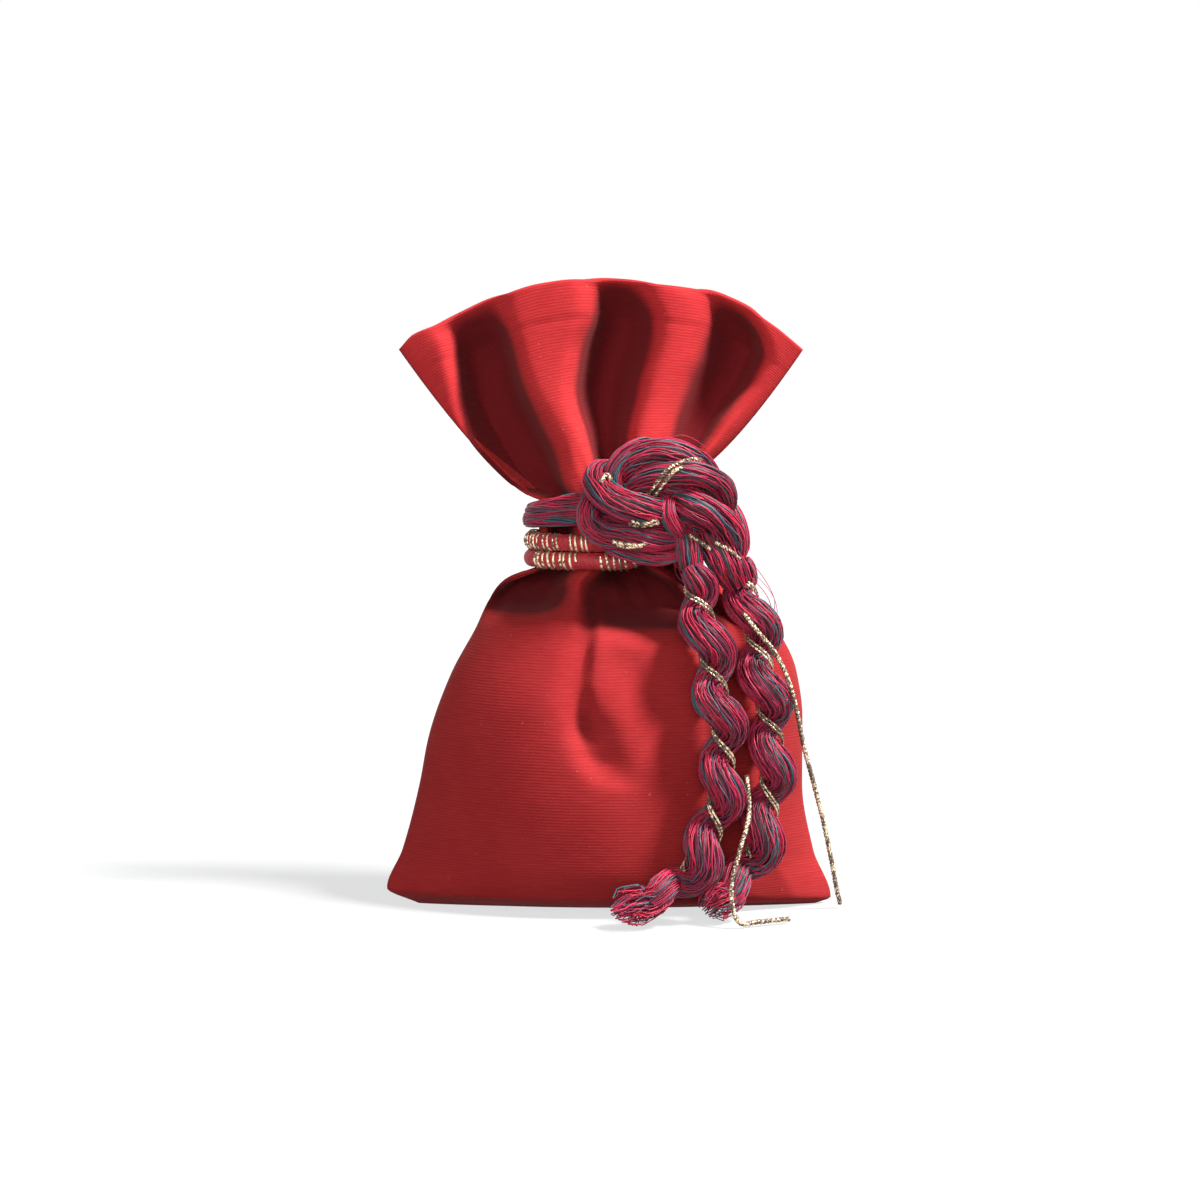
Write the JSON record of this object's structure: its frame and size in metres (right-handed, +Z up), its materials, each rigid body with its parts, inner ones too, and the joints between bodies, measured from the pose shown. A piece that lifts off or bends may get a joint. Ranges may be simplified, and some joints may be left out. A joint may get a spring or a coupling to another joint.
{
  "type": "tied cloth pouch",
  "caption": "Small filled pouch of ribbed cloth with an open flared mouth, gathered and tied at the neck with braid and a knotted skein whose twisted ends hang to the floor.",
  "frame": {"origin": "middle of the flat patch under the pouch that it stands on", "axes": "+Z up through the mouth, +X to the right of the front with the knot, -Y towards the front"},
  "size_m": [0.0871, 0.0522, 0.1207],
  "materials": {
    "red_cloth": "matt ribbed cotton",
    "gold_braid": "red braid with gold flecks",
    "crimson_thread": "silky loose thread",
    "gold_cord": "fine cord wound with gold thread"
  },
  "bodies": {
    "root": {"pouch_body": "red_cloth", "gold_braid": "gold_braid", "skein_tie": "crimson_thread", "skein_tail_left": "crimson_thread", "skein_tail_right": "crimson_thread", "gold_cord_left": "gold_cord", "gold_cord_right": "gold_cord"}
  },
  "joints": []
}
